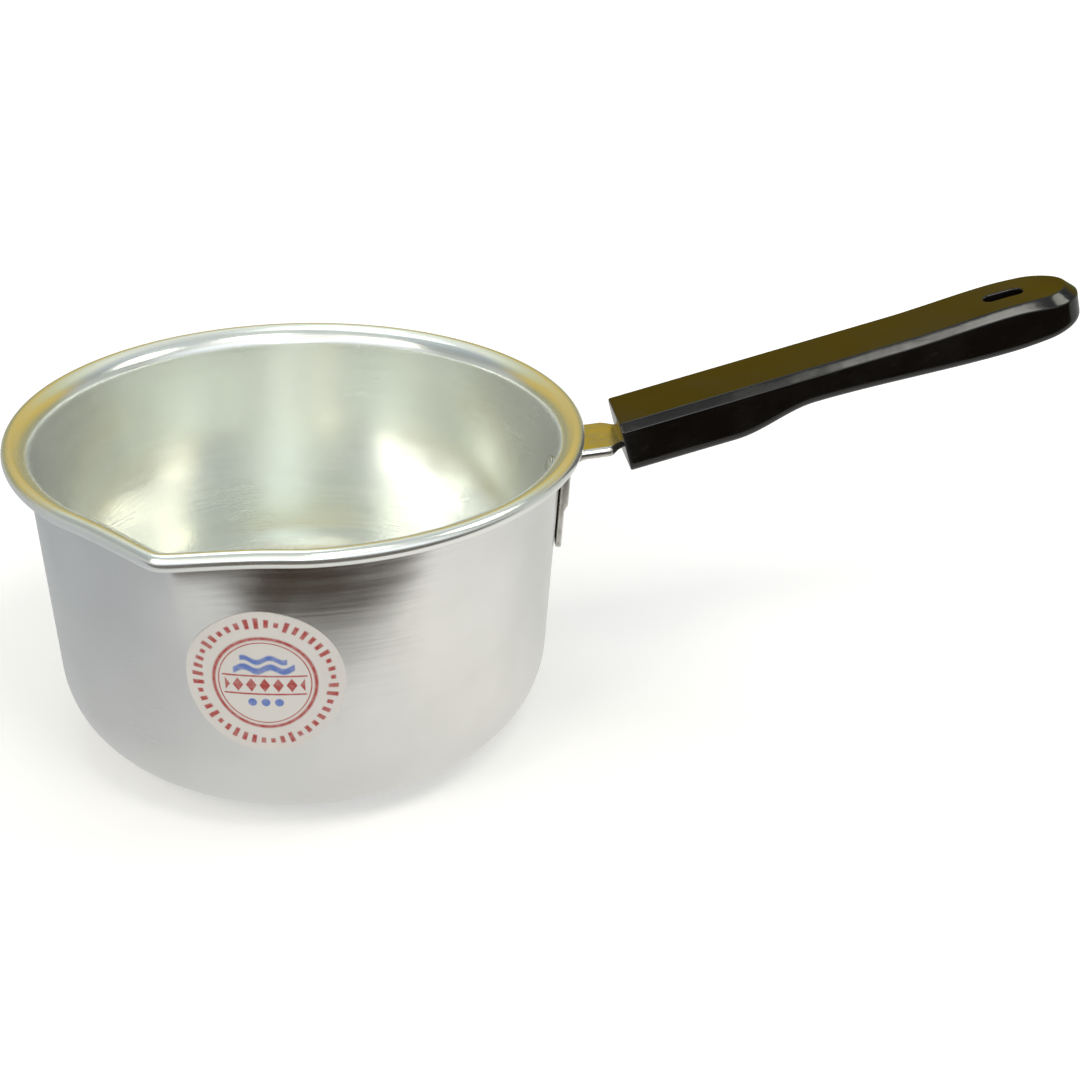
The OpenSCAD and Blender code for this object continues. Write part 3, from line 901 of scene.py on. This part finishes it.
# Moulded phenolic resin: polished, with a faint orange-peel ripple, cloudy wear and hair scratches along the handle.
def makePhenolic():
    material, inputs, place = newMaterial("phenolic", IOR=1.5)
    along = mapped(place, Rotation=(0, rad(grip["rise"]), rad(phenolic["scratchTurn"])))
    scratch = spread(noise(mapped(along, Scale=phenolic["scratchScale"]), 1.0, 2.0, 0.6), 0.62, 0.72)
    cloud = noise(place, phenolic["cloudScale"], 4.0, 0.6)
    speck = noise(place, phenolic["speckScale"], 2.0, 0.5)
    colour = mixColour(spread(cloud, 0.45, 0.85, 0.0, 0.5), phenolic["colour"], phenolic["worn"])
    put(inputs["Base Color"], mixColour(times(scratch, 0.35), colour, phenolic["worn"]))
    rough = spread(cloud, 0.3, 0.75, phenolic["roughness"] - 0.04, phenolic["roughness"] + 0.1)
    put(inputs["Roughness"], calc("ADD", rough, times(scratch, 0.08)))
    ripple = bumped(inputs, noise(place, phenolic["rippleScale"], 2.0, 0.4), phenolic["rippleDepth"], 0.6)
    bumped(inputs, calc("ADD", speck, times(scratch, -0.6)), phenolic["speckDepth"], 1.0, ripple)
    return material


plates = {
    "platedSteel": {
        "colour": (0.74, 0.735, 0.71, 1), "dull": (0.52, 0.50, 0.45, 1), "roughness": 0.2, "grain": (60, 2400, 60)},
    "rivetAluminium": {
        "colour": (0.62, 0.62, 0.58, 1), "dull": (0.36, 0.36, 0.32, 1), "roughness": 0.3, "grain": (500, 500, 500)},
    "zincScrew": {
        "colour": (0.6, 0.6, 0.58, 1), "dull": (0.42, 0.42, 0.4, 1), "roughness": 0.3, "grain": (600, 600, 600)},
}
plateMarks = {
    "cloudScale": 190.0,
    "pitScale": 900.0,
    "pitSize": 0.2,
    "depth": 0.00001,
}


# Bright plated or bare metal with fine lines along the strip, cloudy tarnish and small pits.
def makePlate(name):
    plate = plates[name]
    material, inputs, place = newMaterial(name, Metallic=1.0)
    fine = noise(mapped(place, Scale=plate["grain"]), 1.0, 3.0, 0.6)
    cloud = noise(place, plateMarks["cloudScale"], 4.0, 0.6)
    pits = spread(cells(place, plateMarks["pitScale"]), 0.0, plateMarks["pitSize"])
    put(inputs["Base Color"], mixColour(spread(cloud, 0.4, 0.75, 0.0, 0.8), plate["colour"], plate["dull"]))
    rough = spread(cloud, 0.3, 0.7, plate["roughness"] - 0.04, plate["roughness"] + 0.1)
    put(inputs["Roughness"], calc("ADD", rough, spread(fine, 0.3, 0.7, -0.04, 0.04)))
    bumped(inputs, pits, plateMarks["depth"], 0.4, bumped(inputs, fine, plateMarks["depth"]))
    return material


# Shares of the label's radius: a band is (middle, half its width), an end (where it begins to fade, where it is gone).
paper = {
    "ground": (0.575, 0.55, 0.53, 1),
    "aged": (0.50, 0.475, 0.445, 1),
    "red": (0.34, 0.035, 0.03, 1),
    "blue": (0.08, 0.145, 0.42, 1),
    "soft": 0.012,
    "thinSoft": 0.006,
    "ticks": 44,
    "tickRadius": 0.845,
    "tickHalf": (0.03, 0.075),
    "outerRing": (0.635, 0.022),
    "innerRing": (0.575, 0.008),
    "fieldEnd": (0.53, 0.55),
    "waveTurns": 19.0,
    "waveHeight": 0.032,
    "waves": (((0.33, 0.036), (0.28, 0.30)), ((0.2, 0.045), (0.37, 0.39))),
    "cells": 6.0,
    "diamondSlope": 0.24,
    "diamondLift": 0.03,
    "diamondEnd": (0.09, 0.105),
    "diamondRowEnd": (0.49, 0.5),
    "bars": ((0.1, 0.012), (-0.16, 0.012)),
    "dotLift": 0.28,
    "dotEnd": (0.3, 0.36),
    "dotRowEnd": (0.24, 0.25),
    "ageScale": 60.0,
    "wearScale": 500.0,
    "fibreScale": 1400.0,
    "fibreDepth": 0.00001,
}


# Printed paper, worked out from the label's flat coordinates: a ring of uneven red ticks outside two thin rings, and
# in them two blue waves, a row of red diamonds between two bars and a row of blue dots.
def makePaper():
    material, inputs, place = newMaterial("labelPaper", Coat_Weight=0.25, Coat_Roughness=0.25)
    x, y = surfaceOf(place.id_data)

    def reach(a, b):
        return calc("SQRT", calc("ADD", times(a, a), times(b, b)))

    def within(value, middle, half, soft=paper["soft"]):
        return below(calc("ABSOLUTE", calc("SUBTRACT", value, middle)), half - soft, half + soft)

    radius, across = reach(x, y), calc("ABSOLUTE", x)
    beat = times(calc("ARCTAN2", y, x), paper["ticks"] / (2 * pi))
    # The sine of a large multiple of its number gives each tick its own length.
    uneven = calc("FRACT", times(calc("SINE", times(calc("FLOOR", beat), 12.9)), 43.7))
    away = calc("ABSOLUTE", calc("SUBTRACT", radius, paper["tickRadius"]))
    tickLong = below(calc("SUBTRACT", away, spread(uneven, 0.0, 1.0, *paper["tickHalf"])), -0.01, 0.012)
    ticks = times(tickLong, within(calc("FRACT", beat), 0.5, 0.24, 0.06))
    field = below(radius, *paper["fieldEnd"])
    lifted = calc("SUBTRACT", y, times(calc("SINE", times(x, paper["waveTurns"])), paper["waveHeight"]))
    waves = calc("MAXIMUM", *[times(within(lifted, *band), below(across, *end)) for band, end in paper["waves"]])
    cell = calc("SUBTRACT", calc("FRACT", calc("ADD", times(x, paper["cells"]), 0.5)), 0.5)
    offRow = calc("ABSOLUTE", calc("ADD", y, paper["diamondLift"]))
    slant = calc("ADD", times(calc("ABSOLUTE", cell), paper["diamondSlope"]), offRow)
    diamonds = times(below(slant, *paper["diamondEnd"]), below(across, *paper["diamondRowEnd"]))
    bars = times(calc("MAXIMUM", *[within(y, *band, paper["thinSoft"]) for band in paper["bars"]]), field)
    dot = reach(cell, times(calc("ADD", y, paper["dotLift"]), paper["cells"]))
    dots = times(below(dot, *paper["dotEnd"]), below(across, *paper["dotRowEnd"]))
    red = calc("MAXIMUM", ticks, within(radius, *paper["outerRing"]),
               within(radius, *paper["innerRing"], paper["thinSoft"]),
               times(calc("MAXIMUM", diamonds, bars), field))
    blue = times(calc("MAXIMUM", waves, dots), field)
    fibre = noise(place, paper["fibreScale"], 3.0, 0.6)
    worn = spread(noise(place, paper["wearScale"], 3.0, 0.6), 0.3, 0.6, 0.75, 1.0)
    aged = spread(noise(place, paper["ageScale"]), 0.4, 0.8, 0.0, 0.5)
    colour = mixColour(times(red, worn), mixColour(aged, paper["ground"], paper["aged"]), paper["red"])
    put(inputs["Base Color"], mixColour(times(blue, worn), colour, paper["blue"]))
    put(inputs["Roughness"], spread(fibre, 0.3, 0.7, 0.42, 0.6))
    bumped(inputs, fibre, paper["fibreDepth"], 0.6)
    return material


metals = {name: makePlate(name) for name in plates}
for piece, material in (
        (panPiece, makeAluminium()), (gripPiece, makePhenolic()), (bracketPiece, metals["platedSteel"]),
        (rivetPiece, metals["rivetAluminium"]), (labelPiece, makePaper())):
    piece.data.materials.clear()
    piece.data.materials.append(material)
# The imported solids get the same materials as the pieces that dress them.
for name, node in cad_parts.items():
    material = metals["zincScrew"] if name == "handle_screw" else dressed[name][0].data.materials[0]
    if not node.material_slots:
        node.data.materials.append(material)
    for place in node.material_slots:
        place.material = material
print("stage: materials made")

# The camera is "away" times "scale" millimetres from the rim's middle, and turned so that the middle falls on its
# pixel.
view = {
    "scale": 85,
    "away": 6.2537,
    "elevation": 0.408398,
    "pictureSize": 1080,
    "pixelX": 303.3,
    "pixelY": 410.42,
    "focalPixels": 1800,
    "sensor": 36,
    "roll": 0.0453143,
}


def makeCamera():
    elevation, middle, focal = view["elevation"], view["pictureSize"] / 2, view["focalPixels"]
    at = np.array([0, -view["away"] * cos(elevation), view["away"] * sin(elevation)])
    forward = -unit(at)
    right = np.array([1.0, 0, 0])
    up = np.cross(right, forward)

    def turn(axis, angle, vector):
        return (vector * cos(angle) + np.cross(axis, vector) * sin(angle)
                + axis * axis.dot(vector) * (1 - cos(angle)))

    yaw = atan((view["pixelX"] - middle) / focal)
    pitch = atan((view["pixelY"] - middle) / focal * cos(yaw))
    forward, up = turn(right, pitch, forward), turn(right, pitch, up)
    forward, right = turn(up, yaw, forward), turn(up, yaw, right)
    right, up = turn(forward, view["roll"], right), turn(forward, view["roll"], up)
    camera = bpy.data.cameras.new("camera")
    camera.sensor_width = view["sensor"]
    camera.lens = view["sensor"] * focal / view["pictureSize"]
    camera.clip_start = 0.01
    place = at * view["scale"] * mm + np.array([0, 0, pan["height"] * mm])
    scene.camera = stand("camera", camera, right, up, -forward, place)


makeCamera()

# Windows have a name, power, size, place and colour, and face the aim; none may stand right above it. "behind",
# "around" and "ahead" colour the room from the horizon up. "paper" is the painted reflection of a sheet in the floor's
# glow, from left to right.
studio = {
    "windows": (("leftWindow", 3.6, 0.56, (-0.72, -0.69, 0.87), (1.0, 0.92, 0.7)),
                ("rightWindow", 2.5, 0.42, (0.95, -0.09, 0.98), (1.0, 0.98, 0.84)),
                ("backWindow", 1.5, 0.48, (-0.19, 0.42, 1.29), (0.88, 1.0, 0.97)),
                ("frontWindow", 2.9, 0.35, (0.29, -0.62, 1.22), (1.0, 0.98, 0.9)),
                ("lowWindow", 1.6, 0.45, (0.02, -1.2, 0.5), (0.9, 0.97, 1.0))),
    "aim": (0, 0, 0.05),
    "white": (1, 1, 1, 1),
    "ambient": 0.66,
    "behind": ((0.0, 0.23, 0.235, 0.13), (0.17, 0.25, 0.25, 0.12), (0.3, 0.4, 0.3, 0.04),
               (0.4, 0.55, 0.365, 0.01), (0.5, 0.53, 0.375, 0.03), (0.62, 0.44, 0.47, 0.28),
               (0.78, 0.8, 0.82, 0.73), (1.0, 0.47, 0.5, 0.48)),
    "around": ((0.0, 0.46, 0.49, 0.48), (0.3, 0.38, 0.4, 0.38), (0.52, 0.25, 0.27, 0.27),
               (0.7, 0.27, 0.32, 0.35), (0.86, 0.42, 0.47, 0.49), (1.0, 0.47, 0.5, 0.48)),
    "ahead": ((0.0, 0.45, 0.46, 0.47), (0.35, 1.15, 1.22, 1.3), (0.6, 0.86, 0.86, 0.82),
              (0.78, 1.15, 1.15, 1.08), (0.92, 0.62, 0.65, 0.61), (1.0, 0.47, 0.5, 0.48)),
    "behindReach": (0.3, 0.6),
    "aheadReach": (-0.3, -0.7),
    "floorRadius": 6.0,
    "floorColour": (0.88, 0.88, 0.88, 1),
    "glow": (0.18, 0.48),
    "glowReach": (0.12, 0.8),
    # The floor's glow for glossy rays is a painted reflection: "paper" is a sheet, "beyond" a dark table, "wallFoot"
    # the gold wall's foot.
    "paper": ((0.0, 0.38, 0.4, 0.44), (0.3, 0.42, 0.43, 0.45), (0.62, 0.8, 0.78, 0.74),
              (0.76, 0.77, 0.76, 0.73), (0.88, 0.64, 0.64, 0.61), (1.0, 0.56, 0.56, 0.54)),
    "paperSides": (-0.4, 0.4),
    "paperEnd": (-0.179, -0.151),
    "paperSlant": 0.07,
    "paperBack": (0.44, 0.46, 0.47, 1),
    "paperBackShare": 0.35,
    "paperBackReach": (-0.045, 0.03),
    "beyond": (0.022, 0.009, 0.0, 1),
    "wallFoot": (0.4, 0.36, 0.17, 1),
    "wallFootReach": (0.3, 0.8),
}


# A square lamp that faces the aim.
def areaLight(name, power, size, place, colour):
    lamp = bpy.data.lights.new(name, "AREA")
    lamp.energy = power
    lamp.size = size
    lamp.color = colour
    direction = unit(np.subtract(place, studio["aim"]))
    sideways = unit(np.cross([0, 0, 1], direction))
    stand(name, lamp, sideways, np.cross(direction, sideways), direction, place)


# The room as the metal sees it: grey-green, lighter ahead and overhead, with a gold wall behind the pan. The camera
# sees it white, and its light on things that are not mirrors is even.
def makeWorld():
    world = bpy.data.worlds.new("studio")
    world.use_nodes = True
    scene.world = world
    tree = world.node_tree
    tree.nodes.clear()
    way = add(tree, "SeparateXYZ", {"Vector": add(tree, "TexCoord")["Generated"]})
    height, back = way["Z"], way["Y"]
    seen = ramp(height, studio["around"])
    for side in ("behind", "ahead"):
        seen = mixColour(spread(back, *studio[side + "Reach"]), seen, ramp(height, studio[side]))
    rays = add(tree, "LightPath")
    clear = calc("MAXIMUM", rays["Is Camera Ray"], rays["Is Transmission Ray"])
    even = light(tree, "Background", studio["white"], studio["ambient"])
    onThings = mixShader(rays["Is Glossy Ray"], even, light(tree, "Background", seen, 1.0))
    white = light(tree, "Background", studio["white"], 1.0)
    add(tree, "OutputWorld", {"Surface": mixShader(clear, onThings, white)})


makeWorld()
for window in studio["windows"]:
    areaLight(*window)


# The camera sees the floor white, with a soft shadow. For glossy rays the floor glows with a painted reflection: a
# sheet of white paper that ends in front of the pan, a dark table beyond it and the gold wall's foot behind.
def makeFloor():
    steps = 64
    turns = np.arange(steps) * 2 * pi / steps
    radius = studio["floorRadius"] / mm
    rim = np.stack([radius * np.cos(turns), radius * np.sin(turns), 0 * turns - 0.2], 1)
    floor = makePiece("floor", rim, [list(range(steps))])
    if floor.data.polygons[0].normal.z < 0:
        floor.data.flip_normals()
    material = bpy.data.materials.new("floor")
    material.use_nodes = True
    tree = material.node_tree
    tree.nodes.clear()
    rays = add(tree, "LightPath")
    spot = add(tree, "TexCoord")["Object"]
    place = add(tree, "SeparateXYZ", {"Vector": spot})
    matt = add(tree, "BsdfDiffuse", {"Color": studio["floorColour"]})[0]
    away = add(tree, "VectorMath", {0: spot}, operation="LENGTH")["Value"]
    lift = times(rays["Is Camera Ray"], spread(away, *studio["glowReach"], *studio["glow"]))
    glow = light(tree, "Emission", studio["white"], lift)
    # A painted reflection that only glossy rays see: the floor glows with paper, a dark table and the gold wall's foot.
    past = calc("SUBTRACT", place["Y"], times(place["X"], studio["paperSlant"]))
    seen = ramp(spread(place["X"], *studio["paperSides"]), studio["paper"])
    seen = mixColour(spread(past, *studio["paperEnd"]), studio["beyond"], seen)
    backShare = spread(place["Y"], *studio["paperBackReach"], 0.0, studio["paperBackShare"])
    seen = mixColour(backShare, seen, studio["paperBack"])
    seen = mixColour(spread(place["Y"], *studio["wallFootReach"]), seen, studio["wallFoot"])
    mirrored = light(tree, "Emission", seen, 1.0)
    lit = add(tree, "AddShader", {0: matt, 1: glow})[0]
    add(tree, "OutputMaterial", {"Surface": mixShader(rays["Is Glossy Ray"], lit, mirrored)})
    floor.data.materials.append(material)


makeFloor()
scene.view_settings.view_transform = "Standard"
print("stage: studio made")
